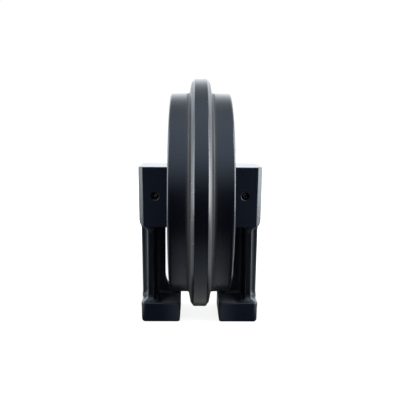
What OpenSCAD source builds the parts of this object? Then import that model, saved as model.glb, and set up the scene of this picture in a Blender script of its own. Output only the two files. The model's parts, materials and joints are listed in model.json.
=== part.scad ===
// Front idler of a small crawler excavator: a guide-flange wheel that turns on a fixed axle,
// carried between two cast bracket arms that stand on bolted feet.
// X runs along the axle, Z is up, and z = 0 is the underside of the feet.

/* [Wheel] */
// Radius of the crown of the guide flange
flange_r = 200; // [198:1:202]
// Radius of the two treads that the track chain runs on
tread_r = 175; // [174:1:176]
// Width of the wheel over both treads
wheel_w = 103; // [102:1:104]
// Width of the flat crown of the guide flange
crown_w = 20.6; // [19:0.2:22]

/* [Axle] */
// Height of the axle above the underside of the feet
axle_h = 222; // [221:1:224]
// Diameter of the axle shaft
shaft_d = 45; // [44:1:46]
// Diameter of the spring pins that lock the shaft
pin_d = 13; // [12:1:14]

/* [Bracket] */
// Height of the block around the axle
block_h = 104; // [102:1:106]
// Height of the block's top above the axle
block_up = 50; // [49:1:52]
// Depth of the block, front guide face to back guide face
block_d = 104; // [102:1:108]
// Distance from the centre plane to the block's inner face
block_in = 53.5; // [53:0.5:54.5]
// Distance from the centre plane to the top of the block's outer face
block_out = 105.9; // [104:0.1:107]
// Depth of the leg's main plate, front to back
leg_d = 80; // [74:2:84]

/* [Foot] */
// Depth of the foot, front to back
foot_d = 106; // [96:2:108]
// Height of the foot
foot_h = 34.5; // [34:0.5:36]
// Distance between the bolt holes along the axle
bolt_x = 134; // [130:1:136]
// Distance between the bolt holes front to back
bolt_y = 60; // [56:2:64]

/* [Hidden] */

ROUND = 96;      // facets shown on a circle, which stands for a true arc
LEFT = -1;
RIGHT = 1;
CUT = 2;         // how far a cutting shape runs past the face that it cuts
BITE = 0.5;      // how far a blend reaches into the material beside it

// Wheel casting
half_w = wheel_w / 2;
flank_1 = [flange_r - 7, crown_w / 2 + 5.3];     // foot of the crown's chamfer: radius, half-width
flank_2 = [tread_r, crown_w / 2 + 9.6];          // where the flank meets the tread
flank_blend = 5;
rim_corner = 4;
rim_in = tread_r - 23;                           // underside of the rim at its open side
rim_root = tread_r - 30;                         // and where it meets the web
web_t = 18;
rim_blend = 14;
hub_blend = 8;
hub_r = 50;
hub_root = 55;                                   // the hub is drafted towards the web
hub_end = 46.4;                                  // half-length of the hub
oil_room_r = 31;
oil_room = 13;                                   // half-length of the oil chamber between the bushes

// Bushes and thrust washers
shaft_r = shaft_d / 2;
running = 0.05;                                  // radial running clearance on the shaft
bore_r = shaft_r + running;
bush_r = shaft_r + 4;
washer_in = 34;                                  // inner face of the thrust washer
washer_t = 3;
washer_r = 31;
collar_r = 30;                                   // bracket's collar that the washer runs against
end_play = 0.3;

// Face seals: one metal ring on each side of the seal plane, each held by a rubber ring
seal_plane = 47.4;
seal_gap = 0.15;                                 // half the gap drawn between the two faces
seal_bore = 42;
seal_floor = 35.5;
seal_ring_in = 33;
seal_body_r = 35;
seal_face_r = 41;
seal_face_t = 3;
seal_back = 37.8;
toric_r = 3.6;                                   // section radius of the squeezed rubber ring
toric_at = 40.6;

// Shaft details
shaft_half = 103;
shaft_chamfer = 2;
groove_at = 65;
groove_w = 4;
groove_r = shaft_r - 2.5;
o_ring_r = 1.3;
centre_r = 3;
centre_depth = 8;

// Lock pins
pin_x = 77;
pin_wall = 2.6;
pin_slit = 2;
pin_recess = 7;                                  // the pin sits this far below the guide face
hole_chamfer = 1;

// Oil plug, screwed at an angle into the hub
plug_r = 6.5;
plug_len = 11;
plug_hex = 7;                                    // across the corners of its socket
plug_hex_depth = 6;
plug_tilt = 33;
plug_foot = [7, 26];                             // point of its axis inside the hub: axial, radial
plug_seat = 27.5;                                // from there to the spot face around it
plug_spot_r = 9;
oil_way_r = 3.5;

// Bracket casting
block_low = axle_h + block_up - block_h;
block_top = axle_h + block_up;
block_out_low = block_out - 1.3;                 // the outer face is drafted
boss_r = 49;
boss_end = 2 * seal_plane - hub_end;             // inner end of the boss, mirrored from the hub
bevel_x = 8;                                     // bevels on the block's outer upright edges
bevel_y = 6.5;
inner_bevel = 2.5;
plate_in = 79.8;
plate_out = 91;
rib_t = 16;
rib_out_top = 104.8;
rib_out_low = 102.6;
web_in = 62.5;                                    // inner edge of the leg's inner web
web_y = [6, 24];                                 // it stands behind the middle of the leg
arch_r = 40;                                     // hollow that the rim turns in
arch_top = 32;                                   // lowest point of that hollow, in the foot
leg_blend = 6;
plate_blend = 14;
foot_in = 33.6;
foot_out = 102;
foot_corner = 6;
foot_bevel = 5.5;
foot_bevel_in = 4;
bolt_r = 7;
bolt_depth = 26;

function unit(v) = v / norm(v);

// Rounds the corner at v between the edges towards a and b. Added to a hollow corner it is a
// fillet, and taken from a sharp one it is a rounding.
module corner(v, a, b, r) {
    u = unit(a - v);
    w = unit(b - v);
    half = acos(u * w) / 2;
    reach = r / tan(half);
    centre = v + unit(u + w) * r / sin(half);
    difference() {
        polygon([
            v - (u + w) * BITE,
            v + u * reach - w * BITE,
            v + u * reach,
            centre,
            v + w * reach,
            v + w * reach - u * BITE,
        ]);
        translate(centre) circle(r = r, $fn = ROUND);
    }
}

// Turns a section drawn as (radius, distance along the axle) about the axle.
module about_axle() {
    translate([0, 0, axle_h]) rotate([0, 90, 0]) rotate_extrude($fn = ROUND) children();
}

// Puts a part made for the right-hand side on either side.
module on_side(side) {
    mirror([side == LEFT ? 1 : 0, 0, 0]) children();
}

// Straight round body along the axle.
module along_axle(r, from, to) {
    translate([from, 0, axle_h]) rotate([0, 90, 0]) cylinder(r = r, h = to - from, $fn = ROUND);
}

// Extrudes a front view, drawn as (x, z), from y0 to y1.
module through_depth(y0, y1) {
    translate([0, y1, 0]) rotate([90, 0, 0]) linear_extrude(y1 - y0) children();
}

// ---- wheel ----

module wheel_half_outline() {
    w = web_t / 2;
    polygon([
        [bush_r, 0],
        [flange_r, 0],
        [flange_r, crown_w / 2],
        flank_1,
        flank_2,
        [tread_r, half_w],
        [rim_in, half_w],
        [rim_root, w],
        [hub_root, w],
        [hub_r, hub_end],
        [bush_r, hub_end],
    ]);
}

module wheel_half_section() {
    w = web_t / 2;
    difference() {
        union() {
            wheel_half_outline();
            corner(flank_2, flank_1, [tread_r, half_w], flank_blend);
            corner([rim_root, w], [rim_in, half_w], [hub_root, w], rim_blend);
            corner([hub_root, w], [hub_r, hub_end], [rim_root, w], hub_blend);
        }
        corner([tread_r, half_w], flank_2, [rim_in, half_w], rim_corner);
        corner([rim_in, half_w], [tread_r, half_w], [rim_root, w], rim_corner);
        corner([hub_r, hub_end], [hub_root, w], [bush_r, hub_end], 1.5);
    }
}

// Hollow inside the hub, from the oil chamber out to the seal's housing.
module hub_hollow() {
    along_axle(oil_room_r, -oil_room, oil_room);
    for (side = [LEFT, RIGHT]) on_side(side) {
        along_axle(washer_r + 0.2, washer_in, hub_end);
        along_axle(seal_bore, seal_floor, hub_end + CUT);
    }
}

// Places a shape made along +Z on the oil plug's tilted axis.
module on_plug_axis() {
    translate([plug_foot[0], 0, axle_h + plug_foot[1]]) rotate([0, plug_tilt, 0]) children();
}

module idler_wheel() {
    color([0.07, 0.08, 0.1]) difference() {
        about_axle() {
            wheel_half_section();
            mirror([0, 1]) wheel_half_section();
        }
        hub_hollow();
        on_plug_axis() {
            cylinder(r = oil_way_r, h = plug_seat, $fn = ROUND);
            translate([0, 0, plug_seat - plug_len]) cylinder(r = plug_r, h = plug_len + CUT, $fn = ROUND);
            translate([0, 0, plug_seat]) cylinder(r = plug_spot_r, h = plug_seat, $fn = ROUND);
        }
    }
}

module oil_plug() {
    color([0.45, 0.43, 0.4]) on_plug_axis() translate([0, 0, plug_seat - plug_len])
        difference() {
            cylinder(r = plug_r, h = plug_len - 1, $fn = ROUND);
            translate([0, 0, plug_len - 1 - plug_hex_depth])
                cylinder(d = plug_hex, h = plug_hex_depth + CUT, $fn = 6);
        }
}

module bush(side) {
    color([0.72, 0.55, 0.3]) on_side(side) difference() {
        along_axle(bush_r, oil_room, washer_in);
        along_axle(bore_r, oil_room - CUT, washer_in + CUT);
    }
}

module thrust_washer(side) {
    color([0.72, 0.55, 0.3]) on_side(side) difference() {
        along_axle(washer_r, washer_in, washer_in + washer_t);
        along_axle(bore_r + 0.7, washer_in - CUT, washer_in + washer_t + CUT);
    }
}

// ---- face seals, drawn on the wheel's side of the seal plane ----

module seal_ring() {
    face = seal_plane - seal_gap;
    step = face - seal_face_t;
    about_axle() difference() {
        union() {
            translate([seal_ring_in, seal_back])
                square([seal_body_r - seal_ring_in, face - seal_back]);
            translate([seal_ring_in, step]) square([seal_face_r - seal_ring_in, seal_face_t]);
        }
        corner([seal_face_r, face], [seal_face_r, step], [seal_body_r, face], 0.8);
    }
}

module toric_ring() {
    about_axle() translate([(seal_body_r + seal_bore) / 2, toric_at])
        circle(r = toric_r, $fn = ROUND);
}

// Copies a wheel-side seal piece to the bracket's side of the seal plane.
module across_seal_plane() {
    translate([2 * seal_plane, 0, 0]) mirror([1, 0, 0]) children();
}

module seal_ring_wheel(side) {
    color([0.35, 0.35, 0.36]) on_side(side) seal_ring();
}

module seal_ring_bracket(side) {
    color([0.35, 0.35, 0.36]) on_side(side) across_seal_plane() seal_ring();
}

module toric_wheel(side) {
    color([0.05, 0.05, 0.05]) on_side(side) toric_ring();
}

module toric_bracket(side) {
    color([0.05, 0.05, 0.05]) on_side(side) across_seal_plane() toric_ring();
}

// ---- axle ----

module axle_shaft() {
    color([0.55, 0.56, 0.57]) difference() {
        about_axle() difference() {
            polygon([
                [0, -shaft_half],
                [shaft_r - shaft_chamfer, -shaft_half],
                [shaft_r, -shaft_half + shaft_chamfer],
                [shaft_r, shaft_half - shaft_chamfer],
                [shaft_r - shaft_chamfer, shaft_half],
                [0, shaft_half],
            ]);
            for (side = [LEFT, RIGHT]) {
                translate([groove_r, side * groove_at - groove_w / 2])
                    square([shaft_r - groove_r + CUT, groove_w]);
                translate([-CUT, side * shaft_half - centre_depth])
                    square([centre_r + CUT, 2 * centre_depth]);
            }
        }
        for (side = [LEFT, RIGHT]) on_side(side) pin_hole();
    }
}

module pin_hole() {
    translate([pin_x, block_d, axle_h]) rotate([90, 0, 0])
        cylinder(d = pin_d, h = 2 * block_d, $fn = ROUND);
}

module shaft_o_ring(side) {
    color([0.05, 0.05, 0.05]) on_side(side) about_axle()
        translate([groove_r + o_ring_r, groove_at]) circle(r = o_ring_r, $fn = ROUND);
}

// Slit spring pin driven through the block and the shaft.
module lock_pin(side) {
    half = block_d / 2 - pin_recess;
    color([0.3, 0.3, 0.31]) on_side(side) translate([pin_x, half, axle_h]) rotate([90, 0, 0])
        linear_extrude(2 * half) difference() {
            circle(d = pin_d, $fn = ROUND);
            circle(d = pin_d - 2 * pin_wall, $fn = ROUND);
            translate([0, -pin_slit / 2]) square([pin_d, pin_slit]);
        }
}

// ---- bracket ----

module block_front_view() {
    in_low = [block_in, block_low];
    in_top = [block_in, block_top];
    out_top = [block_out, block_top];
    out_low = [block_out_low, block_low];
    difference() {
        polygon([in_low, in_top, out_top, out_low]);
        corner(in_low, in_top, out_low, 3);
        corner(in_top, out_top, in_low, 3);
        corner(out_top, in_top, out_low, 5);
        corner(out_low, out_top, in_low, 11);
    }
}

// Plan of a block whose upright edges are bevelled.
module bevelled_plan(x0, x1, depth, in_bevel, out_x, out_y) {
    y = depth / 2;
    polygon([
        [x0, -y + in_bevel], [x0 + in_bevel, -y],
        [x1 - out_x, -y], [x1, -y + out_y],
        [x1, y - out_y], [x1 - out_x, y],
        [x0 + in_bevel, y], [x0, y - in_bevel],
    ]);
}

module axle_block() {
    intersection() {
        through_depth(-block_d / 2, block_d / 2) block_front_view();
        translate([0, 0, block_low - CUT]) linear_extrude(block_h + 2 * CUT)
            bevelled_plan(block_in, block_out, block_d, inner_bevel, bevel_x, bevel_y);
    }
}

module leg_plan() {
    y = leg_d / 2;
    rib = rib_t / 2;
    reach = plate_out + 40;
    union() {
        translate([plate_in, -y]) square([plate_out - plate_in, leg_d]);
        translate([plate_out - CUT, -rib]) square([reach - plate_out, rib_t]);
        translate([foot_in, web_y[0]]) square([plate_in - foot_in + CUT, web_y[1] - web_y[0]]);
        corner([plate_out, rib], [plate_out, y], [reach, rib], leg_blend);
        corner([plate_out, -rib], [plate_out, -y], [reach, -rib], leg_blend);
        corner([plate_in, web_y[0]], [plate_in, -y], [foot_in, web_y[0]], leg_blend);
        corner([plate_in, web_y[1]], [plate_in, y], [foot_in, web_y[1]], leg_blend);
    }
}

module leg_front_view() {
    low = foot_h - 4;
    top = block_low + 4;
    difference() {
        union() {
            polygon([
                [foot_in, low], [foot_in, arch_top], [web_in, arch_top],
                [web_in, top], [rib_out_top, top], [rib_out_low, low],
            ]);
            corner([web_in, arch_top], [foot_in, arch_top], [web_in, top], arch_r);
        }
        translate([0, -CUT]) square([foot_in, block_h]);
    }
}

module leg() {
    intersection() {
        through_depth(-leg_d / 2, leg_d / 2) leg_front_view();
        translate([0, 0, foot_h - 4 - CUT])
            linear_extrude(block_low - foot_h + 8 + 2 * CUT) leg_plan();
    }
}

// Curved roots of the main plate, where it widens into the block and into the foot.
module plate_roots() {
    through_depth(-leg_d / 2, leg_d / 2) {
        corner([plate_out, block_low], [plate_out, foot_h], [block_out, block_low], plate_blend);
        corner([plate_out, foot_h], [plate_out, block_low], [foot_out, foot_h], 9.5);
    }
}

module foot_front_view() {
    in_low = [foot_in, 0];
    in_top = [foot_in, foot_h];
    out_top = [foot_out, foot_h];
    out_low = [foot_out, 0];
    difference() {
        polygon([in_low, in_top, out_top, out_low]);
        corner(in_low, in_top, out_low, 3);
        corner(out_top, in_top, out_low, 3);
        corner(out_low, out_top, in_low, foot_corner);
    }
}

module foot() {
    difference() {
        intersection() {
            through_depth(-foot_d / 2, foot_d / 2) foot_front_view();
            translate([0, 0, -CUT]) linear_extrude(foot_h + 2 * CUT)
                bevelled_plan(foot_in, foot_out, foot_d, foot_bevel_in, foot_bevel, foot_bevel);
        }
        for (y = [-bolt_y / 2, bolt_y / 2]) translate([bolt_x / 2, y, -CUT])
            cylinder(r = bolt_r, h = bolt_depth + CUT, $fn = ROUND);
    }
}

// Bore for the shaft, housing for the face seal and hole for the lock pin.
module block_bores() {
    along_axle(bore_r, washer_in, block_out + CUT);
    difference() {
        along_axle(seal_bore, boss_end - CUT, 2 * seal_plane - seal_floor);
        along_axle(collar_r, boss_end - 2 * CUT, 2 * seal_plane - seal_floor + CUT);
    }
    pin_hole();
}

module bracket(side) {
    color([0.06, 0.07, 0.09]) on_side(side) difference() {
        union() {
            axle_block();
            along_axle(boss_r, boss_end, block_in + CUT);
            along_axle(collar_r, washer_in + washer_t + end_play, block_in + CUT);
            leg();
            plate_roots();
            foot();
        }
        block_bores();
    }
}

idler_wheel();
oil_plug();
axle_shaft();
bush(LEFT);  // bush_left
bush(RIGHT);  // bush_right
thrust_washer(LEFT);  // thrust_washer_left
thrust_washer(RIGHT);  // thrust_washer_right
seal_ring_wheel(LEFT);  // seal_ring_wheel_left
seal_ring_wheel(RIGHT);  // seal_ring_wheel_right
seal_ring_bracket(LEFT);  // seal_ring_bracket_left
seal_ring_bracket(RIGHT);  // seal_ring_bracket_right
toric_wheel(LEFT);  // toric_wheel_left
toric_wheel(RIGHT);  // toric_wheel_right
toric_bracket(LEFT);  // toric_bracket_left
toric_bracket(RIGHT);  // toric_bracket_right
shaft_o_ring(LEFT);  // shaft_o_ring_left
shaft_o_ring(RIGHT);  // shaft_o_ring_right
lock_pin(LEFT);  // lock_pin_left
lock_pin(RIGHT);  // lock_pin_right
bracket(LEFT);  // bracket_left
bracket(RIGHT);  // bracket_right
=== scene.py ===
# %% [markdown]
# # The front idler of a small crawler excavator
# A track chain turns round a large wheel at the front of the track frame. The wheel has a tread on
# each side for the chain's rails and a guide flange in the middle that keeps the chain on. It turns
# on a fixed axle, and the axle sits in two cast brackets that slide in the track frame and bolt to
# the tensioner by their feet. This lesson loads the engineering model, rebuilds the castings with
# their real roundings, and gives each metal its finish.

# %% Load the frame
import json
import math
import bpy
import bmesh
import numpy as np
from mathutils import Matrix, Vector


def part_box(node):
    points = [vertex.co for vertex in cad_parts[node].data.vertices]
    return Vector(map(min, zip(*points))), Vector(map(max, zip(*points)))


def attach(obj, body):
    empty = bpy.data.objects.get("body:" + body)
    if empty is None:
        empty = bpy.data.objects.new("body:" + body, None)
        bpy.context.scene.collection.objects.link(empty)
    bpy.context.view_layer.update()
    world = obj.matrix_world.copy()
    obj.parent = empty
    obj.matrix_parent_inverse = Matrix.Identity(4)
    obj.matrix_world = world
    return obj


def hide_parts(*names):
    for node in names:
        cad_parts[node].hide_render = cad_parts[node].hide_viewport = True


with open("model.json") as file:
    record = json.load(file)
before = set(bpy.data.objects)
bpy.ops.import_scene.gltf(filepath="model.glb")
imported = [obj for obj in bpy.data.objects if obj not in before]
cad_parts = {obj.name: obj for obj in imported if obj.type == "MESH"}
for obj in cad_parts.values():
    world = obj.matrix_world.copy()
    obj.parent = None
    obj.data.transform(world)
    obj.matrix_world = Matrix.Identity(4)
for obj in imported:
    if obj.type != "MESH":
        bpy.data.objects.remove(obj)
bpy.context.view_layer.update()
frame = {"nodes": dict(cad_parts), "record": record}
MM = 0.001
WHEEL_BODY = "wheel"
CARRIER_BODY = "carrier"

# %% [markdown]
# ## Where everything is
# The castings are made again from their own sizes, in millimetres, and the sizes that the frame
# can give are read from it: the axle's height, the wheel's radius and width, and the brackets'
# top. A drawing office works the same way, from a few driving dimensions.

# %% Sizes from the frame
spin = frame["record"]["behaviour"]["joints"][0]
AXLE_Z = spin["pos_m"][2] / MM
wheel_low, wheel_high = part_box("idler_wheel")
FLANGE_R = (wheel_high.z - wheel_low.z) / 2 / MM
HALF_W = wheel_high.x / MM
BLOCK_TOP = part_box("bracket_right")[1].z / MM
print(f"axle at {AXLE_Z:.1f} mm, flange radius {FLANGE_R:.1f} mm, treads out to {HALF_W:.1f} mm")

# %% [markdown]
# ## Helpers for colours, meshes and node trees
# Paint colours are easiest to judge as the 0 to 255 values of a screen, but shaders want linear
# light, so one function converts them. A second makes an object from arrays of points and faces.
# The rest add a node and set or link its inputs in one line, which keeps the trees readable.

# %% Small helpers
def screen_colour(r, g, b):
    def linear(v):
        v /= 255
        return v / 12.92 if v <= 0.04045 else ((v + 0.055) / 1.055) ** 2.4
    return (linear(r), linear(g), linear(b), 1.0)


def mesh_object(name, points, faces, edges=()):
    mesh = bpy.data.meshes.new(name)
    mesh.from_pydata(np.asarray(points).tolist(), list(edges), np.asarray(faces).tolist())
    piece = bpy.data.objects.new(name, mesh)
    bpy.context.scene.collection.objects.link(piece)
    return piece


def add_node(tree, kind, at=(0, 0), **inputs):
    node = tree.nodes.new(kind)
    node.location = at
    for name, value in inputs.items():
        node.inputs[name.replace("_", " ")].default_value = value
    return node


def feed(tree, socket, value):
    """Gives an input its value, which is a plain one or the output of another node."""
    if isinstance(value, bpy.types.NodeSocket):
        tree.links.new(value, socket)
    else:
        socket.default_value = value


def node_math(tree, operation, first, second=None, clamp=False):
    node = tree.nodes.new("ShaderNodeMath")
    node.operation = operation
    node.use_clamp = clamp
    for socket, value in zip(node.inputs, (first, second)):
        if value is not None:
            feed(tree, socket, value)
    return node.outputs["Value"]


# %% [markdown]
# ## The wheel's section
# A steel idler is cast, then turned on a lathe where it runs: treads, guide flange and seal bores.
# Its whole shape is one section swung round the axle, so the section is drawn once as a list of
# corners, each with the radius that rounds it. Corners are (distance from the axle, distance along
# it). Only half is drawn, and the other half is its mirror image.

# %% Draw the section
def rounded_outline(corners, arc_step_mm=1.2, beside_mm=3.5):
    """Closed outline with each (point, radius) corner replaced by a true arc. A long straight side
    also gets a point near each end, so that marks kept on the points stay close to the corners."""
    points = []
    count = len(corners)
    for i, (here, radius) in enumerate(corners):
        here = Vector(here)
        before = (Vector(corners[i - 1][0]) - here).normalized()
        after = (Vector(corners[(i + 1) % count][0]) - here).normalized()
        half = before.angle(after) / 2
        if radius == 0 or half > math.radians(89.9):
            points.append(here)
            continue
        centre = here + (before + after).normalized() * radius / math.sin(half)
        start = here + before * radius / math.tan(half) - centre
        turn = before.angle_signed(after)
        sweep = math.copysign(math.pi - 2 * half, -turn)
        steps = max(3, round(radius * abs(sweep) / arc_step_mm))
        for s in range(steps + 1):
            points.append(centre + Matrix.Rotation(-sweep * s / steps, 2) @ start)
    outline = []
    for here, there in zip(points, points[1:] + points[:1]):
        outline.append(here)
        side = there - here
        if side.length > 2.5 * beside_mm:
            outline += [here + side.normalized() * beside_mm, there - side.normalized() * beside_mm]
    return outline


TREAD_R = 175
RIM_IN, RIM_ROOT = TREAD_R - 23, TREAD_R - 30
WEB_HALF = 9
HUB_R, HUB_ROOT, HUB_END = 50, 55, 46.4
FLANK_TOP, FLANK_FOOT = (FLANGE_R - 7, 15.6), (TREAD_R, 19.2)
CROWN_HALF = 10.3
OIL_ROOM_R, OIL_ROOM_HALF = 31, 13
BUSH_R, WASHER_IN = 26.5, 34
WASHER_R = OIL_ROOM_R + 0.2
SEAL_BORE, SEAL_FLOOR = 42, 35.5
half_section = [
    ((OIL_ROOM_R, OIL_ROOM_HALF), 0),
    ((BUSH_R, OIL_ROOM_HALF), 0.5),
    ((BUSH_R, WASHER_IN), 0.5),
    ((WASHER_R, WASHER_IN), 0),
    ((WASHER_R, SEAL_FLOOR), 0.5),
    ((SEAL_BORE, SEAL_FLOOR), 0.8),
    ((SEAL_BORE, HUB_END), 1),
    ((HUB_R, HUB_END), 1.6),
    ((HUB_ROOT, WEB_HALF), 8),
    ((RIM_ROOT, WEB_HALF), 14),
    ((RIM_IN, HALF_W), 4),
    ((TREAD_R, HALF_W), 4),
    (FLANK_FOOT, 2.5),
    (FLANK_TOP, 2),
    ((FLANGE_R, CROWN_HALF), 1.6),
]
mirrored_half = [((r, -a), radius) for (r, a), radius in reversed(half_section)]
section = rounded_outline(half_section + mirrored_half)
print("points on the wheel's section:", len(section))

# %% [markdown]
# ## Turning the section into a wheel
# A Screw or Spin would do it, but a Geometry Nodes lathe keeps the work visible: Mesh to Curve
# makes the section a curve, and Curve to Mesh carries it round a circle as a potter's template is
# carried round clay. The number of steps is a named input. The result is made a plain mesh at the
# end.

# %% Build the lathe
def lathe_tree():
    tree = bpy.data.node_groups.new("lathe", "GeometryNodeTree")
    new_socket = tree.interface.new_socket
    new_socket("Section", in_out="INPUT", socket_type="NodeSocketGeometry")
    sockets = {
        "Steps": new_socket("Steps", in_out="INPUT", socket_type="NodeSocketInt"),
        "Path Radius": new_socket("Path Radius", in_out="INPUT", socket_type="NodeSocketFloat"),
        "Axle Height": new_socket("Axle Height", in_out="INPUT", socket_type="NodeSocketFloat"),
        "Finish": new_socket("Finish", in_out="INPUT", socket_type="NodeSocketMaterial"),
    }
    new_socket("Turned", in_out="OUTPUT", socket_type="NodeSocketGeometry")
    link = tree.links.new
    given = add_node(tree, "NodeGroupInput", (-800, 0))
    to_curve = add_node(tree, "GeometryNodeMeshToCurve", (-600, -100))
    path = add_node(tree, "GeometryNodeCurvePrimitiveCircle", (-600, 150))
    sweep = add_node(tree, "GeometryNodeCurveToMesh", (-400, 0))
    height = add_node(tree, "ShaderNodeCombineXYZ", (-400, -250))
    place = add_node(tree, "GeometryNodeTransform", (-200, 0))
    place.inputs["Rotation"].default_value = (0, -math.pi / 2, 0)
    realize = add_node(tree, "GeometryNodeRealizeInstances", (0, 0))
    dress = add_node(tree, "GeometryNodeSetMaterial", (200, 0))
    result = add_node(tree, "NodeGroupOutput", (400, 0))
    link(given.outputs["Section"], to_curve.inputs["Mesh"])
    link(given.outputs["Steps"], path.inputs["Resolution"])
    link(given.outputs["Path Radius"], path.inputs["Radius"])
    link(given.outputs["Axle Height"], height.inputs["Z"])
    link(path.outputs["Curve"], sweep.inputs["Curve"])
    link(to_curve.outputs["Curve"], sweep.inputs["Profile Curve"])
    link(sweep.outputs["Mesh"], place.inputs["Geometry"])
    link(height.outputs["Vector"], place.inputs["Translation"])
    link(place.outputs["Geometry"], realize.inputs["Geometry"])
    link(realize.outputs["Geometry"], dress.inputs["Geometry"])
    link(given.outputs["Finish"], dress.inputs["Material"])
    link(dress.outputs["Geometry"], result.inputs["Turned"])
    return tree, sockets


def plain_mesh(piece):
    """Replaces the object's mesh by what its modifiers make of it, and takes the modifiers away."""
    result = piece.evaluated_get(bpy.context.evaluated_depsgraph_get())
    made = bpy.data.meshes.new_from_object(result)
    piece.modifiers.clear()
    made.name = piece.name
    piece.data = made
    return piece


WHEEL_STEPS = 288
PATH_R = 100
lathe, lathe_inputs = lathe_tree()


def turned(name, outline, steps, finish):
    """A solid of revolution about the axle from an outline in (radius, along) millimetres."""
    rim = [((p.x - PATH_R) * MM, p.y * MM, 0) for p in outline]
    loop = [(i, (i + 1) % len(rim)) for i in range(len(rim))]
    piece = mesh_object(name, rim, [], loop)
    turning = piece.modifiers.new("lathe", "NODES")
    turning.node_group = lathe
    turning[lathe_inputs["Steps"].identifier] = steps
    turning[lathe_inputs["Path Radius"].identifier] = PATH_R * MM
    turning[lathe_inputs["Axle Height"].identifier] = AXLE_Z * MM
    turning[lathe_inputs["Finish"].identifier] = finish
    return plain_mesh(piece)


wheel_paint = bpy.data.materials.new("wheel_paint")
wheel = turned("wheel_casting", section, WHEEL_STEPS, wheel_paint)
print("wheel faces:", len(wheel.data.polygons))

# %% [markdown]
# ## The oil filling hole
# The hub is filled with oil through a slanted hole that ends in a flat spot face, where a plug is
# screwed in. On the real wheel it is drilled after casting, so here a drill-shaped cutter is taken
# from the wheel with a Boolean. The cutter is turned like the wheel itself, about its own axis.

# %% Drill the wheel
PLUG_TILT = math.radians(33)
PLUG_FOOT = Vector((7, 0, AXLE_Z + 26))
OIL_WAY_R, PLUG_R, MOUTH_R, SPOT_FACE_R = 3.5, 6.5, 7.4, 9
DRILL_FROM, HOLE_FLOOR, MOUTH_FROM, SPOT_FACE, DRILL_TO = 2, 16.5, 26.7, 27.5, 50
drill_outline = [
    (0, DRILL_FROM), (OIL_WAY_R, DRILL_FROM), (OIL_WAY_R, HOLE_FLOOR), (PLUG_R, HOLE_FLOOR),
    (PLUG_R, MOUTH_FROM), (MOUTH_R, SPOT_FACE), (SPOT_FACE_R, SPOT_FACE), (SPOT_FACE_R, DRILL_TO),
    (0, DRILL_TO),
]
DRILL_STEPS = 48


def round_cutter(name, outline, place, steps):
    """Closed cutter turned about its own Z axis from (radius, along) points in millimetres."""
    ring = bmesh.new()
    along = [ring.verts.new((r * MM, 0, z * MM)) for r, z in outline]
    edges = [ring.edges.new(pair) for pair in zip(along, along[1:])]
    bmesh.ops.spin(
        ring, geom=along + edges, axis=(0, 0, 1), cent=(0, 0, 0), steps=steps, angle=math.tau,
    )
    bmesh.ops.remove_doubles(ring, verts=ring.verts, dist=1e-6)
    bmesh.ops.transform(ring, matrix=place, verts=ring.verts)
    bmesh.ops.recalc_face_normals(ring, faces=ring.faces)
    cutter = bpy.data.objects.new(name, bpy.data.meshes.new(name))
    bpy.context.scene.collection.objects.link(cutter)
    ring.to_mesh(cutter.data)
    ring.free()
    return cutter


def cut_away(piece, cutter):
    cut = piece.modifiers.new("cut", "BOOLEAN")
    cut.operation = "DIFFERENCE"
    cut.solver = "EXACT"
    cut.object = cutter
    plain_mesh(piece)
    bpy.data.objects.remove(cutter)


plug_place = Matrix.Translation(PLUG_FOOT * MM) @ Matrix.Rotation(PLUG_TILT, 4, "Y")
cut_away(wheel, round_cutter("oil_drill", drill_outline, plug_place, DRILL_STEPS))
print("wheel faces after drilling:", len(wheel.data.polygons))

# %% [markdown]
# ## A bracket as a sum of soft solids
# A sand casting has no sharp corners: pattern makers round every edge and fill every hollow corner,
# so that metal flows and sand doesn't break away. Bevels on a mesh get tangled where a web, a leg
# and a foot meet. A distance field is calmer: each simple solid is a function that is negative
# inside and positive outside, and a smooth minimum joins two solids with a fillet. The blend width
# that gives a fillet of a given radius is the radius divided by 0.85.

# %% Join and cut distance fields
FILLET = 1 / 0.85


def join(a, b, radius):
    k = radius * FILLET
    h = np.clip(0.5 + 0.5 * (b - a) / k, 0, 1)
    return b * (1 - h) + a * h - k * h * (1 - h)


def meet(a, b, radius):
    return -join(-a, -b, radius)


def meet_all(fields, radius):
    result = fields[0]
    for field in fields[1:]:
        result = meet(result, field, radius)
    return result


def between(v, low, high):
    return np.abs(v - (low + high) / 2) - (high - low) / 2


def bevel(x, y, at_x, at_y, across_x, across_y):
    """Plane that takes the upright corner (at_x, at_y) away, this far along each face."""
    long = math.hypot(across_x, across_y)
    return ((x - at_x) * across_y + (y - at_y) * across_x + across_x * across_y) / long


# %% [markdown]
# ## The bracket's solids
# From the top down: the square block that slides in the track frame and holds the axle, the leg
# with its main plate and two ribs, the inner rib's hollow that the rim turns in, and the foot.
# Rounded edges are a few millimetres, as the casting shows, and the holes are machined afterwards.

# %% Bracket sizes
BLOCK_TALL, BLOCK_DRAFT = 104, 0.0125
BLOCK_LOW = BLOCK_TOP - BLOCK_TALL
BLOCK_IN, BLOCK_OUT, BLOCK_HALF_D = 53.5, 105.9, 52
BEVEL_ALONG, BEVEL_BACK, BEVEL_IN = 8, 6.5, 2.5
BOSS_R, BOSS_END, COLLAR_R, COLLAR_END = 49, 48.4, 30, 37.3
SEAL_PLANE = 47.4
PLATE_IN, PLATE_OUT, PLATE_HALF_D = 79.8, 91, 40
RIB_OUT_TOP, RIB_DRAFT, RIB_HALF = 104.8, 0.016, 8
WEB_IN, WEB_FRONT, WEB_BACK = 62.5, 6, 24
ARCH_R, ARCH_TOP = 40, 32
FOOT_IN, FOOT_OUT, FOOT_HALF_D, FOOT_H = 33.6, 102, 53, 34.5
FOOT_BEVEL_OUT, FOOT_BEVEL_IN = 5.5, 4
EDGE = 1.8
SHAFT_BORE, SHAFT_MOUTH = 22.7, 3.2
PIN_X, PIN_HOLE, PIN_MOUTH = 77, 6.55, 1
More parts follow.
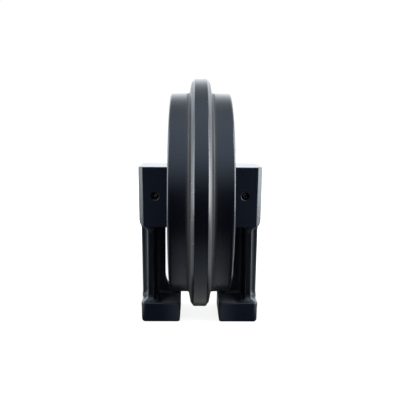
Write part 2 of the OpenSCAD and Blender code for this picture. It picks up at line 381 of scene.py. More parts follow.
BOLT_X, BOLT_Y, BOLT_R, BOLT_DEPTH, BOLT_MOUTH = 67, 30, 7, 26, 1.5
print(f"block {BLOCK_TALL} mm tall, foot {FOOT_OUT - FOOT_IN:.1f} mm wide and {FOOT_H} mm thick")

# %% [markdown]
# ## Block and boss
# The block narrows a little towards its lower end, so that its pattern leaves the sand, and its
# upright corners are bevelled. The boss on its inner side holds the bracket's half of the seal.

# %% Block and boss
def block_field(x, y, z):
    depth = np.abs(y)
    drawn_in = (BLOCK_TOP - z) * BLOCK_DRAFT
    lower_corner = meet(x - BLOCK_OUT + drawn_in, BLOCK_LOW - z, 11)
    shape = meet_all([lower_corner, z - BLOCK_TOP, depth - BLOCK_HALF_D, BLOCK_IN - x], EDGE)
    outer = bevel(x, depth, BLOCK_OUT - drawn_in, BLOCK_HALF_D, BEVEL_ALONG, BEVEL_BACK)
    inner = bevel(-x, depth, -BLOCK_IN, BLOCK_HALF_D, BEVEL_IN, BEVEL_IN)
    return meet_all([shape, outer, inner], 0.8)


def outer_face(z):
    """How far out the casting reaches at each height, so that no fillet swells past that side."""
    reach = BLOCK_OUT + 0.3 - 0.008 * (BLOCK_TOP - z) - 0.008 * np.maximum(BLOCK_LOW - z, 0)
    return reach - 1.5 * np.clip((FOOT_H + 1 - z) / 12, 0, 1)


def boss_field(x, y, z):
    radius = np.hypot(y, z - AXLE_Z)
    return meet(radius - BOSS_R, between(x, BOSS_END, BLOCK_IN + 5), 1)


# %% [markdown]
# ## Leg and foot
# The leg is an upright plate with a rib on its outer side and a web on its inner side. The web's
# edge is hollowed, so that the wheel's rim turns clear of it. The foot is a thick plate.

# %% Leg and foot
def leg_field(x, y, z):
    plate = meet_all([between(x, PLATE_IN, PLATE_OUT), np.abs(y) - PLATE_HALF_D], 1.8)
    rib_face = x - RIB_OUT_TOP + (BLOCK_LOW - z) * RIB_DRAFT
    rib = meet_all([np.abs(y) - RIB_HALF - (RIB_OUT_TOP - x) * 0.08, rib_face, PLATE_IN + 3 - x], 3)
    away_x, away_z = x - (WEB_IN - ARCH_R), ARCH_TOP + ARCH_R - z
    hollow = np.hypot(np.maximum(away_x, 0), np.maximum(away_z, 0))
    hollow += np.minimum(np.maximum(away_x, away_z), 0) - ARCH_R
    web = meet_all([between(y, WEB_FRONT, WEB_BACK), -hollow, x - PLATE_OUT + 3], 3)
    leg = join(join(plate, rib, 6), web, 6)
    return np.maximum(leg, between(z, FOOT_H - 16, BLOCK_LOW + 12))


def foot_field(x, y, z):
    depth = np.abs(y)
    low_corners = meet(meet(x - FOOT_OUT, -z, 6), FOOT_IN - x, 3)
    shape = meet_all([low_corners, z - FOOT_H, depth - FOOT_HALF_D], 2.4)
    outer = bevel(x, depth, FOOT_OUT, FOOT_HALF_D, FOOT_BEVEL_OUT, FOOT_BEVEL_OUT)
    inner = bevel(-x, depth, -FOOT_IN, FOOT_HALF_D, FOOT_BEVEL_IN, FOOT_BEVEL_IN)
    return meet_all([shape, outer, inner], 1.5)


# %% [markdown]
# ## The holes, and the bracket as a whole
# The shaft's bore, the seal's housing, the lock pin's hole and the bolt holes are machined after
# casting, so they make one solid that is taken away from the sum of the others at the end.

# %% Holes and whole bracket
def machined_field(x, y, z):
    """Everything that is bored or drilled, as one solid to take away."""
    radius = np.hypot(y, z - AXLE_Z)
    mouth = np.maximum(x - BLOCK_OUT + SHAFT_MOUTH, 0)
    bore = radius - SHAFT_BORE - mouth
    housing_floor = 2 * SEAL_PLANE - SEAL_FLOOR
    housing = meet_all([radius - SEAL_BORE, COLLAR_R - radius, x - housing_floor], 0.8)
    pin_mouth = np.maximum(np.abs(y) - BLOCK_HALF_D + PIN_MOUTH, 0)
    pin = np.hypot(x - PIN_X, z - AXLE_Z) - PIN_HOLE - pin_mouth
    bolt_mouth = np.maximum(BOLT_MOUTH - z, 0)
    bolt = np.hypot(x - BOLT_X, np.abs(y) - BOLT_Y) - BOLT_R - bolt_mouth
    bolt = np.maximum(bolt, z - BOLT_DEPTH)
    return np.minimum(np.minimum(bore, housing), np.minimum(pin, bolt))


def bracket_field(x, y, z):
    upper = join(block_field(x, y, z), boss_field(x, y, z), 1.5)
    outward = np.clip((x - WEB_IN - 8) / 14, 0, 1)
    body = join(upper, leg_field(x, y, z), 2.5 + 7.5 * outward)
    body = join(body, foot_field(x, y, z), 4 + 5 * outward)
    collar = meet(np.hypot(y, z - AXLE_Z) - COLLAR_R, between(x, COLLAR_END, BLOCK_IN + 9), 0.8)
    body = np.minimum(body, collar)
    body = meet(body, FOOT_IN - x, 2)
    body = meet(body, x - outer_face(z), 1)
    return meet(body, -machined_field(x, y, z), 0.7)


# %% [markdown]
# ## From field to mesh
# The field is sampled on a grid. Each grid cell that the surface passes through gets one point, and
# each grid edge that it crosses gets one square face between the four cells around it. The points
# are then moved onto the true surface along the field's slope, evened out, and moved onto it again.
# The slope also gives exact normals, so flat faces shade flat and roundings shade round.

# %% Make the mesh
GRID = 1.3


def slope(field, points, reach=0.04):
    x, y, z = points.T
    return np.stack([
        field(x + reach, y, z) - field(x - reach, y, z),
        field(x, y + reach, z) - field(x, y - reach, z),
        field(x, y, z + reach) - field(x, y, z - reach),
    ], 1) / (2 * reach)


def onto_surface(field, points, rounds=4):
    for _ in range(rounds):
        along = slope(field, points)
        size = np.maximum((along ** 2).sum(1), 0.05)
        step = field(*points.T) / size
        points = points - along * np.clip(step, -GRID, GRID)[:, None]
    return points


def surface_net(inside):
    """Faces between the cells that the surface passes through, and where those cells are."""
    cells = tuple(n - 1 for n in inside.shape)
    filled = np.zeros(cells, np.int8)
    for corner in np.ndindex(2, 2, 2):
        filled += inside[tuple(slice(c, c + n) for c, n in zip(corner, cells))]
    crossed = (filled > 0) & (filled < 8)
    number = np.full(cells, -1)
    number[crossed] = np.arange(crossed.sum())
    faces = []
    for axis in range(3):
        order = (axis, (axis + 1) % 3, (axis + 2) % 3)
        solid = inside.transpose(order)
        cell = number.transpose(order)
        i, j, k = np.nonzero(solid[:-1, 1:-1, 1:-1] != solid[1:, 1:-1, 1:-1])
        ring = np.stack([
            cell[i, j, k], cell[i, j + 1, k], cell[i, j + 1, k + 1], cell[i, j, k + 1],
        ], 1)
        backwards = ~solid[i, j + 1, k + 1]
        ring[backwards] = ring[backwards][:, ::-1]
        faces.append(ring)
    return np.argwhere(crossed), np.concatenate(faces)


def evened(points, faces):
    """Each point moved half way to the middle of its neighbours."""
    total = np.zeros_like(points)
    count = np.zeros(len(points))
    for side in range(4):
        ends = faces[:, side], faces[:, (side + 1) % 4]
        for here, there in (ends, ends[::-1]):
            np.add.at(total, here, points[there])
            np.add.at(count, here, 1)
    return (points + total / count[:, None]) / 2


def mesh_of_field(field, low, high):
    axes = [np.arange(a - 2 * GRID, b + 3 * GRID, GRID) for a, b in zip(low, high)]
    samples = field(*np.meshgrid(*axes, indexing="ij", sparse=True))
    cells, faces = surface_net(samples < 0)
    points = np.array([a[0] for a in axes]) + (cells + 0.5) * GRID
    points = onto_surface(field, points)
    for _ in range(2):
        points = onto_surface(field, evened(points, faces), 3)
    return points, faces


points_mm, bracket_faces = mesh_of_field(
    bracket_field,
    (FOOT_IN, -FOOT_HALF_D, 0),
    (BLOCK_OUT, FOOT_HALF_D, BLOCK_TOP),
)
bracket_normals = slope(bracket_field, points_mm)
bracket_normals /= np.linalg.norm(bracket_normals, axis=1)[:, None]
print("bracket points:", len(points_mm), "faces:", len(bracket_faces))

# %% [markdown]
# ## Where edges are sharp and where faces are machined
# Paint is thin on a raised edge and thick in a hollow corner, and a machined face is smoother than
# the cast skin beside it. Shaders can't see either, so both are stored on the mesh as numbers: edge
# from 0 to 1 on raised edges, hollow from 0 to 1 in corners, and machined 0 or 1. The spray hardly
# reaches the foot's top under the rim, so the paint there stays dull, and that is a number as well.

# %% Mark edges, hollows and machined faces
def curvature(field, points, reach=1.5):
    x, y, z = points.T
    around = field(x + reach, y, z) + field(x - reach, y, z)
    around += field(x, y + reach, z) + field(x, y - reach, z)
    around += field(x, y, z + reach) + field(x, y, z - reach)
    return (around - 6 * field(x, y, z)) / reach ** 2


def store(mesh, name, values):
    layer = mesh.attributes.new(name, "FLOAT", "POINT")
    layer.data.foreach_set("value", np.asarray(values, np.float32))


BORE_MARKED_TO = 25


def bracket_machined(points, normals):
    x, y, z = points.T
    guide_face = (np.abs(normals[:, 1]) > 0.97) & (np.abs(y) > BLOCK_HALF_D - 0.5)
    guide_face |= (normals[:, 2] > 0.97) & (z > BLOCK_TOP - 0.5)
    under_foot = (normals[:, 2] < -0.97) & (z < 0.5)
    from_axle = np.hypot(y, z - AXLE_Z)
    seal_housing = (from_axle < SEAL_BORE + 2) & (x < BOSS_END + 12)
    return guide_face | under_foot | seal_housing | (from_axle < BORE_MARKED_TO)


def bracket_sheltered(points, normals):
    x, y, z = points.T
    under_rim = np.clip((WEB_IN + 6 - x) / 8, 0, 1) * np.clip((FOOT_H + 14 - z) / 8, 0, 1)
    return under_rim * np.clip(normals[:, 2] * 2, 0, 1)


def bracket(side, name, finish):
    points, faces, normals = points_mm * MM, bracket_faces, bracket_normals
    if side == "left":
        flip = np.array((-1, 1, 1))
        points, normals, faces = points * flip, normals * flip, faces[:, ::-1]
    piece = mesh_object(name, points, faces)
    piece.data.materials.append(finish)
    piece.data.shade_smooth()
    piece.data.normals_split_custom_set_from_vertices(normals.tolist())
    bend = curvature(bracket_field, points_mm)
    store(piece.data, "edge", np.clip(bend * 2.5, 0, 1))
    store(piece.data, "hollow", np.clip(-bend * 5, 0, 1))
    store(piece.data, "machined", bracket_machined(points_mm, bracket_normals))
    store(piece.data, "sheltered", bracket_sheltered(points_mm, bracket_normals))
    return piece


bracket_paint = bpy.data.materials.new("bracket_paint")
brackets = {
    "left": bracket("left", "bracket_casting_left", bracket_paint),
    "right": bracket("right", "bracket_casting_right", bracket_paint),
}

# %% [markdown]
# ## The same marks on the wheel
# The wheel's section already says where its corners are, so distance from them is enough. The
# treads, the flange, the ends of the hub and the seal bores are turned. The two slopes beside the
# flange get a mark of their own, where the paint is made a lighter grey as a painted reflection of
# the side panels.

# %% Mark the wheel
HUB_FACED_FROM = 44
SHARP_ABOVE = math.radians(40)


def near_corners(radius, along, corners, size):
    """From 0 far from every corner to 1 at one of them. Each corner has its own reach in mm."""
    mark = np.zeros(len(radius))
    for (corner_r, corner_a), reach in corners:
        away = np.hypot(radius - corner_r, along - corner_a)
        mark = np.maximum(mark, np.clip(size - away / reach, 0, 1))
    return mark


def wheel_marks(piece):
    count = len(piece.data.vertices)
    places = np.empty(count * 3)
    piece.data.vertices.foreach_get("co", places)
    x, y, z = places.reshape(-1, 3).T / MM
    radius, along = np.hypot(y, z - AXLE_Z), np.abs(x)
    raised = [
        ((FLANGE_R, CROWN_HALF), 2.5), (FLANK_TOP, 2.5),
        ((TREAD_R, HALF_W), 4), ((RIM_IN, HALF_W), 4), ((HUB_R, HUB_END), 2.5),
    ]
    sunken = [(FLANK_FOOT, 4), ((RIM_ROOT, WEB_HALF), 9), ((HUB_ROOT, WEB_HALF), 7)]
    store(piece.data, "edge", near_corners(radius, along, raised, 1.4))
    store(piece.data, "hollow", near_corners(radius, along, sunken, 1.5))
    hub_end = (radius < HUB_R) & (along > HUB_FACED_FROM)
    store(piece.data, "machined", (radius > RIM_IN + 5) | hub_end | (radius < SEAL_BORE + 1))
    # the flange's slopes, where the paint gets a lighter grey as a painted reflection of the side
    # panels
    on_flank = (radius > TREAD_R + 1) & (radius < FLANGE_R - 1) & (along > CROWN_HALF)
    store(piece.data, "flank_sheen", on_flank)


wheel_marks(wheel)
wheel.data.shade_smooth()
wheel.data.set_sharp_from_angle(angle=SHARP_ABOVE)
print("marks on the wheel:", [m.name for m in wheel.data.attributes if m.data_type == "FLOAT"])

# %% [markdown]
# ## Effects that several finishes share
# Cast skin, paint that has flowed, and bright wear on raised edges appear on more than one metal
# here. Each is a node group with named inputs that gives back only a height, a colour or a mask.
# The Principled shader stays in each material.

# %% Node groups
def shader_group(name, inputs, outputs):
    tree = bpy.data.node_groups.new(name, "ShaderNodeTree")
    for socket, kind, value in inputs:
        made = tree.interface.new_socket(socket, in_out="INPUT", socket_type=kind)
        made.default_value = value
    for socket, kind in outputs:
        tree.interface.new_socket(socket, in_out="OUTPUT", socket_type=kind)
    return tree, tree.nodes.new("NodeGroupInput"), tree.nodes.new("NodeGroupOutput")


def cast_skin_group():
    """Grain left by the sand, under the paint. It fades where a face is machined."""
    tree, given, result = shader_group(
        "cast_skin",
        [("Place", "NodeSocketVector", (0, 0, 0)), ("Grain", "NodeSocketFloat", 520.0),
         ("Machined", "NodeSocketFloat", 0.0), ("Machined Depth", "NodeSocketFloat", 0.12)],
        [("Height", "NodeSocketFloat")],
    )
    fine = add_node(tree, "ShaderNodeTexNoise", Detail=3.0, Roughness=0.55)
    broad = add_node(tree, "ShaderNodeTexNoise", Scale=95.0, Detail=2.0)
    pits = add_node(tree, "ShaderNodeTexVoronoi", Scale=260.0, Randomness=1.0)
    link = tree.links.new
    for texture in (fine, broad, pits):
        link(given.outputs["Place"], texture.inputs["Vector"])
    link(given.outputs["Grain"], fine.inputs["Scale"])
    pit = node_math(tree, "SMOOTH_MIN", pits.outputs["Distance"], 0.35)
    grain = node_math(tree, "MULTIPLY", fine.outputs["Fac"], 0.45)
    swell = node_math(tree, "MULTIPLY", broad.outputs["Fac"], 1.1)
    height = node_math(tree, "ADD", grain, swell)
    height = node_math(tree, "ADD", height, node_math(tree, "MULTIPLY", pit, 0.35))
    turned_off = node_math(tree, "SUBTRACT", 1.0, given.outputs["Machined Depth"])
    fade = node_math(tree, "MULTIPLY", given.outputs["Machined"], turned_off)
    keep = node_math(tree, "SUBTRACT", 1.0, fade)
    link(node_math(tree, "MULTIPLY", height, keep), result.inputs["Height"])
    return tree


CHIPPED_FROM, CHIPPED_FULLY = 0.80, 0.86


def edge_wear_group():
    """Mask of the spots where paint has rubbed or chipped off raised edges."""
    tree, given, result = shader_group(
        "edge_wear",
        [("Place", "NodeSocketVector", (0, 0, 0)), ("Edge", "NodeSocketFloat", 0.0),
         ("Amount", "NodeSocketFloat", 0.3), ("Chip Scale", "NodeSocketFloat", 180.0)],
        [("Mask", "NodeSocketFloat")],
    )
    chips = add_node(tree, "ShaderNodeTexNoise", Detail=5.0, Roughness=0.7)
    link = tree.links.new
    link(given.outputs["Place"], chips.inputs["Vector"])
    link(given.outputs["Chip Scale"], chips.inputs["Scale"])
    lifted = node_math(tree, "MULTIPLY", given.outputs["Edge"], given.outputs["Amount"])
    level = node_math(tree, "ADD", chips.outputs["Fac"], lifted)
    sharp = add_node(tree, "ShaderNodeMapRange")
    sharp.inputs["From Min"].default_value = CHIPPED_FROM
    sharp.inputs["From Max"].default_value = CHIPPED_FULLY
    link(level, sharp.inputs["Value"])
    link(sharp.outputs["Result"], result.inputs["Mask"])
    return tree


def tone_group():
    """Slow change of tone over a surface, with dust settled in the hollows."""
    tree, given, result = shader_group(
        "tone",
        [("Place", "NodeSocketVector", (0, 0, 0)), ("Dark", "NodeSocketColor", (0, 0, 0, 1)),
         ("Light", "NodeSocketColor", (1, 1, 1, 1)), ("Dust", "NodeSocketColor", (1, 1, 1, 1)),
         ("Hollow", "NodeSocketFloat", 0.0), ("Patch Scale", "NodeSocketFloat", 14.0)],
        [("Color", "NodeSocketColor"), ("Patch", "NodeSocketFloat")],
    )
    patch = add_node(tree, "ShaderNodeTexNoise", Detail=4.0, Roughness=0.6)
    speck = add_node(tree, "ShaderNodeTexNoise", Scale=900.0, Detail=2.0)
    link = tree.links.new
    link(given.outputs["Place"], patch.inputs["Vector"])
    link(given.outputs["Place"], speck.inputs["Vector"])
    link(given.outputs["Patch Scale"], patch.inputs["Scale"])
    base = add_node(tree, "ShaderNodeMix")
    base.data_type = "RGBA"
    link(patch.outputs["Fac"], base.inputs["Factor"])
    link(given.outputs["Dark"], base.inputs["A"])
    link(given.outputs["Light"], base.inputs["B"])
    settled = node_math(tree, "MULTIPLY", given.outputs["Hollow"], speck.outputs["Fac"])
    settled = node_math(tree, "MULTIPLY", settled, 0.5, clamp=True)
    dusty = add_node(tree, "ShaderNodeMix")
    dusty.data_type = "RGBA"
    link(settled, dusty.inputs["Factor"])
    link(base.outputs["Result"], dusty.inputs["A"])
    link(given.outputs["Dust"], dusty.inputs["B"])
    link(dusty.outputs["Result"], result.inputs["Color"])
    link(patch.outputs["Fac"], result.inputs["Patch"])
    return tree


cast_skin, edge_wear, tone = cast_skin_group(), edge_wear_group(), tone_group()
print("shared effects:", cast_skin.name, edge_wear.name, tone.name)

# %% [markdown]
# ## Blue-black paint
# Idlers leave the factory sprayed or dipped in a semi-gloss blue-black enamel over cast and turned
# steel. The shader is a dark dielectric with a medium gloss. Cast skin shows through it as a soft
# grain, and machined faces are smoother. Those of the wheel carry faint turning marks, and those of
# the brackets are painted a lighter blue, a painted sheen. The flange's slopes are painted a
# lighter grey, a painted reflection of the side panels. The paint is dull in hollows, and a few
# edges are rubbed through to steel.

# %% Paint material
def place_group(tree, group, **inputs):
    node = tree.nodes.new("ShaderNodeGroup")
    node.node_tree = group
    for name, value in inputs.items():
        feed(tree, node.inputs[name.replace("_", " ")], value)
    return node


def attribute(tree, name):
    node = tree.nodes.new("ShaderNodeAttribute")
    node.attribute_name = name
    return node.outputs["Fac"]


def start_material(material):
    material.use_nodes = True
    tree = material.node_tree
    tree.nodes.clear()
    shader = tree.nodes.new("ShaderNodeBsdfPrincipled")
    output = tree.nodes.new("ShaderNodeOutputMaterial")
    tree.links.new(shader.outputs["BSDF"], output.inputs["Surface"])
    place = tree.nodes.new("ShaderNodeTexCoord").outputs["Object"]
    return tree, shader, place


def bump(tree, shader, height, strength, distance):
    node = add_node(tree, "ShaderNodeBump", Strength=strength, Distance=distance)
    tree.links.new(height, node.inputs["Height"])
    tree.links.new(node.outputs["Normal"], shader.inputs["Normal"])


def mix_value(tree, factor, low, high, kind="FLOAT"):
    node = tree.nodes.new("ShaderNodeMix")
    node.data_type = kind
    for name, value in (("Factor", factor), ("A", low), ("B", high)):
        feed(tree, node.inputs[name], value)
    return node.outputs["Result"]


def mix_colour(tree, factor, low, high):
    return mix_value(tree, factor, low, high, "RGBA")


def rings_round_axle(tree, place, pitch):
    """Wave along the axle, for the fine rings that a lathe or a grinding wheel leaves."""
    along = tree.nodes.new("ShaderNodeSeparateXYZ")
    tree.links.new(place, along.inputs["Vector"])
    turns = node_math(tree, "MULTIPLY", along.outputs["X"], math.tau / pitch)
    return node_math(tree, "SINE", turns)


PAINT_DARK = screen_colour(8, 11, 19)
PAINT_LIGHT = screen_colour(13, 17, 29)
DUST = screen_colour(96, 98, 100)
BARE_STEEL = screen_colour(132, 133, 133)
# lighter grey painted on the flange's slopes: a painted reflection of the side panels
FLANK_SHEEN_PAINT = screen_colour(44, 45, 46)
# lighter blue for the brackets' machined faces: a painted sheen, chiefly on the blocks' fronts
MACHINED_SHEEN_PAINT = screen_colour(24, 30, 44)
PAINT_SHEEN = (0.7, 0.83, 1.0, 1)
CAST_ROUGH, SMOOTH_ROUGH = (0.25, 0.33), (0.2, 0.28)
DUSTY_ROUGH, FLANK_ROUGH, SHELTERED_ROUGH = 0.6, 0.43, 0.85
CHIPPED = 0.16
TURNING_PITCH, TURNING_DEPTH = 0.9 * MM, 0.02


def paint(material, turning_marks, grain_depth):
    tree, shader, place = start_material(material)
    edge, hollow, machined = (attribute(tree, n) for n in ("edge", "hollow", "machined"))
    colour = place_group(
        tree, tone, Place=place, Dark=PAINT_DARK, Light=PAINT_LIGHT, Dust=DUST, Hollow=hollow,
    )
    worn = place_group(tree, edge_wear, Place=place, Edge=edge, Amount=CHIPPED).outputs["Mask"]
    shader.inputs["Specular Tint"].default_value = PAINT_SHEEN
    shader.inputs["Specular IOR Level"].default_value = 0.62
    film = colour.outputs["Color"]
    if turning_marks:
        # lighter grey on the flange's slopes: a painted reflection of the side panels
        film = mix_colour(tree, attribute(tree, "flank_sheen"), film, FLANK_SHEEN_PAINT)
    else:
        # lighter blue on the brackets' machined faces: a painted sheen, chiefly on the blocks'
        # fronts
        film = mix_colour(tree, machined, film, MACHINED_SHEEN_PAINT)
    height = place_group(tree, cast_skin, Place=place, Machined=machined).outputs["Height"]
    tree.links.new(mix_colour(tree, worn, film, BARE_STEEL), shader.inputs["Base Color"])
    tree.links.new(node_math(tree, "MULTIPLY", worn, 0.8), shader.inputs["Metallic"])
    cast = mix_value(tree, colour.outputs["Patch"], *CAST_ROUGH)
    smooth = mix_value(tree, colour.outputs["Patch"], *SMOOTH_ROUGH)
    rough = mix_value(tree, machined, cast, smooth)
    rough = mix_value(tree, node_math(tree, "MULTIPLY", hollow, 0.8), rough, DUSTY_ROUGH)
    if turning_marks:
        rough = mix_value(tree, attribute(tree, "flank_sheen"), rough, FLANK_ROUGH)
    else:
        rough = mix_value(tree, attribute(tree, "sheltered"), rough, SHELTERED_ROUGH)
    tree.links.new(rough, shader.inputs["Roughness"])
    if turning_marks:
        groove = rings_round_axle(tree, place, TURNING_PITCH)
        groove = node_math(tree, "MULTIPLY", groove, TURNING_DEPTH)
        groove = node_math(tree, "MULTIPLY", groove, machined)
        height = node_math(tree, "ADD", height, groove)
    bump(tree, shader, height, 0.55, grain_depth)


paint(wheel_paint, turning_marks=True, grain_depth=0.25 * MM)
paint(bracket_paint, turning_marks=False, grain_depth=0.3 * MM)
print("painted:", wheel_paint.name, bracket_paint.name)

# %% [markdown]
# ## Bare metals, bronze and rubber
# Inside, the parts are bare. The axle is ground, so it has fine marks round it and a film of oil.
# Its two ends show in the blocks, and they were painted with the rest when it was all sprayed.
# Spring pins are blackened. The plug is zinc plated. Bushes and thrust washers have a bronze face,
# face-seal rings are lapped iron, and the rings that press them together are soft black rubber.

# %% Metal and rubber materials
SHAFT_PAINTED_AT = 100.5 * MM
SPRAYED_ROUGH = 0.34
GRINDING_PITCH = 0.5 * MM


def metal(name, dark, light, roughness, ring_marks=0.0, painted_beyond=None):
    material = bpy.data.materials.new(name)
    tree, shader, place = start_material(material)
    colour = place_group(
        tree, tone, Place=place, Dark=dark, Light=light, Dust=dark, Patch_Scale=60.0,
    )
    surface = colour.outputs["Color"]
    rough = mix_value(tree, colour.outputs["Patch"], *roughness)
    shader.inputs["Metallic"].default_value = 1.0
    if painted_beyond:
        along = tree.nodes.new("ShaderNodeSeparateXYZ")
        tree.links.new(place, along.inputs["Vector"])
        from_middle = node_math(tree, "ABSOLUTE", along.outputs["X"])
        bare = node_math(tree, "LESS_THAN", from_middle, painted_beyond)
        surface = mix_colour(tree, bare, PAINT_LIGHT, surface)
        rough = mix_value(tree, bare, SPRAYED_ROUGH, rough)
        tree.links.new(bare, shader.inputs["Metallic"])
    tree.links.new(surface, shader.inputs["Base Color"])
    tree.links.new(rough, shader.inputs["Roughness"])
    height = place_group(
        tree, cast_skin, Place=place, Grain=900.0, Machined=1.0, Machined_Depth=0.2,
    ).outputs["Height"]
    if ring_marks:
        rings = rings_round_axle(tree, place, GRINDING_PITCH)
        height = node_math(tree, "ADD", height, node_math(tree, "MULTIPLY", rings, ring_marks))
    bump(tree, shader, height, 0.4, 0.1 * MM)
    return material


def rubber(name, dark, light):
    material = bpy.data.materials.new(name)
    tree, shader, place = start_material(material)
    colour = place_group(
        tree, tone, Place=place, Dark=dark, Light=light, Dust=DUST, Patch_Scale=90.0,
    )
    tree.links.new(colour.outputs["Color"], shader.inputs["Base Color"])
    rough = mix_value(tree, colour.outputs["Patch"], 0.6, 0.8)
    tree.links.new(rough, shader.inputs["Roughness"])
    height = place_group(tree, cast_skin, Place=place, Grain=1400.0).outputs["Height"]
    bump(tree, shader, height, 0.3, 0.08 * MM)
    return material


finishes = {
    "shaft_steel": metal(
        "shaft_steel", screen_colour(128, 127, 124), screen_colour(168, 168, 166),
        roughness=(0.22, 0.36), ring_marks=0.05, painted_beyond=SHAFT_PAINTED_AT,
    ),
    "pin_steel": metal(
        "pin_steel", screen_colour(22, 23, 26), screen_colour(36, 37, 40), roughness=(0.5, 0.62),
    ),
    "plug_steel": metal(
        "plug_steel", screen_colour(138, 134, 120), screen_colour(170, 168, 158),
        roughness=(0.3, 0.45),
    ),
    "bronze": metal(
        "bronze", screen_colour(150, 112, 62), screen_colour(184, 142, 84),
        roughness=(0.28, 0.42), ring_marks=0.05,
    ),
    "seal_iron": metal(
        "seal_iron", screen_colour(92, 93, 95), screen_colour(126, 126, 127),
        roughness=(0.2, 0.32), ring_marks=0.03,
    ),
    "seal_rubber": rubber("seal_rubber", screen_colour(20, 20, 21), screen_colour(34, 34, 35)),
    "wheel_paint": wheel_paint,
    "bracket_paint": bracket_paint,
}
slots = {row["node"]: row["material_slot"] for row in frame["record"]["subparts"]}
for node, part in frame["nodes"].items():
    for material_slot in part.material_slots:
        material_slot.material = finishes[slots[node]]
print("finishes:", ", ".join(sorted(finishes)))

# %% [markdown]
# ## Hand the castings to the frame
# The wheel casting rides on the wheel's body and stands for the plain CAD wheel. The two bracket
# castings ride on the carrier. The axle, pins, plug, bushes and seals keep their CAD shapes.

# %% Ride and replace
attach(wheel, WHEEL_BODY)
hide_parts("idler_wheel")
for side, piece in brackets.items():
    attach(piece, CARRIER_BODY)
    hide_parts(f"bracket_{side}")
print("castings handed over:", 1 + len(brackets))

# %% [markdown]
# ## Floor
# The part stands on a white floor. It throws little light back in front and more under the wheel
# and at the sides, and for the camera alone it glows, to look white.

# %% Floor
def ramp(tree, value, low, high, at_low, at_high):
    node = add_node(tree, "ShaderNodeMapRange")
    node.interpolation_type = "SMOOTHSTEP"
    names = ("From Min", "From Max", "To Min", "To Max")
    for name, number in zip(names, (low, high, at_low, at_high)):
        node.inputs[name].default_value = number
    tree.links.new(value, node.inputs["Value"])
    return node.outputs["Result"]


FLOOR_HALF = 5.0
floor = mesh_object(
    "floor",
    [(x * FLOOR_HALF, y * FLOOR_HALF, 0) for x, y in ((-1, -1), (1, -1), (1, 1), (-1, 1))],
    [(0, 1, 2, 3)],
)
floor_finish = bpy.data.materials.new("floor")
tree, shader, place = start_material(floor_finish)
shader.inputs["Roughness"].default_value = 0.95
shader.inputs["Specular IOR Level"].default_value = 0.0
shader.inputs["Emission Color"].default_value = (1, 1, 1, 1)
spot = tree.nodes.new("ShaderNodeSeparateXYZ")
tree.links.new(place, spot.inputs["Vector"])
toward_back = ramp(tree, spot.outputs["Y"], low=-0.5, high=-0.13, at_low=0.02, at_high=0.27)
from_middle = node_math(tree, "ABSOLUTE", spot.outputs["X"])
under_wheel = ramp(tree, from_middle, low=0.03, high=0.07, at_low=1.0, at_high=0.0)
to_side = ramp(tree, from_middle, low=0.11, high=0.2, at_low=0.0, at_high=2.0)
lighter = node_math(tree, "ADD", under_wheel, to_side)
tone_of_floor = node_math(tree, "MULTIPLY", toward_back, lighter)
tree.links.new(tone_of_floor, shader.inputs["Base Color"])
floor_seen = add_node(tree, "ShaderNodeLightPath").outputs["Is Camera Ray"]
missing = node_math(tree, "SUBTRACT", 1.0, node_math(tree, "MULTIPLY", tone_of_floor, 0.5))
tree.links.new(node_math(tree, "MULTIPLY", floor_seen, missing), shader.inputs["Emission Strength"])
floor.data.materials.append(floor_finish)
print("floor:", 2 * FLOOR_HALF, "m wide")

# %% [markdown]
# ## Room
# Light comes softly from above, from both sides and from behind, and the space behind the camera
# is dim, so faces turned to the camera stay deep and edges light up. The room is a world shader:
# its brightness depends on the ray's direction, and the camera itself sees plain white.

# %% Room
world = bpy.data.worlds.new("room")
bpy.context.scene.world = world
world.use_nodes = True
tree = world.node_tree
tree.nodes.clear()
direction = add_node(tree, "ShaderNodeTexCoord").outputs["Generated"]
split = add_node(tree, "ShaderNodeSeparateXYZ")
tree.links.new(direction, split.inputs["Vector"])
front = ramp(tree, split.outputs["Z"], low=0.04, high=0.85, at_low=0.035, at_high=1.3)
back = ramp(tree, split.outputs["Z"], low=0.42, high=0.82, at_low=2.0, at_high=0.75)
behind = ramp(tree, split.outputs["Y"], low=-0.15, high=0.45, at_low=0.0, at_high=1.0)
strength = mix_value(tree, behind, front, back)
room = add_node(tree, "ShaderNodeBackground")
room.inputs["Color"].default_value = (0.96, 1.0, 1.04, 1)
tree.links.new(strength, room.inputs["Strength"])
backdrop = add_node(tree, "ShaderNodeBackground")
backdrop.inputs["Color"].default_value = (1, 1, 1, 1)
backdrop.inputs["Strength"].default_value = 1.02
seen = add_node(tree, "ShaderNodeLightPath").outputs["Is Camera Ray"]
choose = add_node(tree, "ShaderNodeMixShader")
tree.links.new(seen, choose.inputs["Fac"])
tree.links.new(room.outputs["Background"], choose.inputs[1])
tree.links.new(backdrop.outputs["Background"], choose.inputs[2])
world_out = add_node(tree, "ShaderNodeOutputWorld")
tree.links.new(choose.outputs["Shader"], world_out.inputs["Surface"])
bpy.context.scene.view_settings.view_transform = "Standard"
print("room:", world.name)

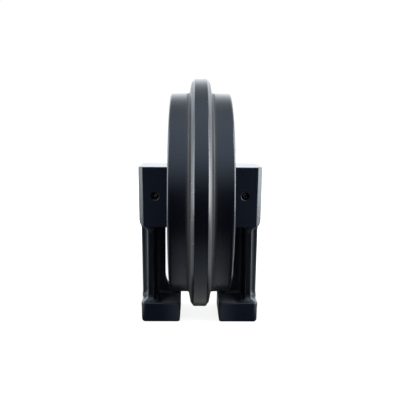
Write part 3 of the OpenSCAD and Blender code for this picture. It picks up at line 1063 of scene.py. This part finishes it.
# %% [markdown]
# ## Side panels
# Two tall, slightly warm panels stand upright at the sides and face the wheel. The right one is
# the stronger. They light the bevels and the flange's slopes.

# %% Side panels
PANEL_WIDE, PANEL_TALL = 0.7, 1.9
PANEL_OUT, PANEL_FORWARD, PANEL_UP = 1.25, -0.12, 0.85
PANEL_WARM = (1.0, 0.95, 0.86)
LEFT_RADIANCE, RIGHT_RADIANCE = 5.8, 10.5
for sign, radiance in ((-1, LEFT_RADIANCE), (1, RIGHT_RADIANCE)):
    panel = bpy.data.lights.new("side_panel", "AREA")
    panel.shape = "RECTANGLE"
    panel.size, panel.size_y = PANEL_WIDE, PANEL_TALL
    panel.color = PANEL_WARM
    panel.energy = math.pi * PANEL_WIDE * PANEL_TALL * radiance
    light = bpy.data.objects.new("side_panel", panel)
    bpy.context.scene.collection.objects.link(light)
    light.location = (sign * PANEL_OUT, PANEL_FORWARD, PANEL_UP)
    inward = Vector((-light.location.x, -light.location.y, 0))
    light.rotation_euler = inward.to_track_quat("-Z", "Y").to_euler()
print("side panels:", LEFT_RADIANCE, "left and", RIGHT_RADIANCE, "right")

# %% [markdown]
# ## Camera
# The camera stands a metre in front of the wheel and a little above it, looks slightly down, and is
# a hair to the left of the middle, with a lens a little longer than normal.

# %% Camera
CAMERA_AT = Vector((-12.5, -1003, AXLE_Z + 128)) * MM
LOOK_DOWN = math.radians(8.02)
LOOK_RIGHT = math.radians(0.73)
ROLL = math.radians(0.4)
lens = bpy.data.cameras.new("camera")
lens.lens = 50.7
camera = bpy.data.objects.new("camera", lens)
bpy.context.scene.collection.objects.link(camera)
aim = Matrix.Rotation(-LOOK_RIGHT, 4, "Z") @ Matrix.Rotation(math.pi / 2 - LOOK_DOWN, 4, "X")
camera.matrix_world = Matrix.Translation(CAMERA_AT) @ aim @ Matrix.Rotation(ROLL, 4, "Z")
bpy.context.scene.camera = camera
print(f"camera: lens {lens.lens:.1f} mm, looking down {math.degrees(LOOK_DOWN):.1f} degrees")
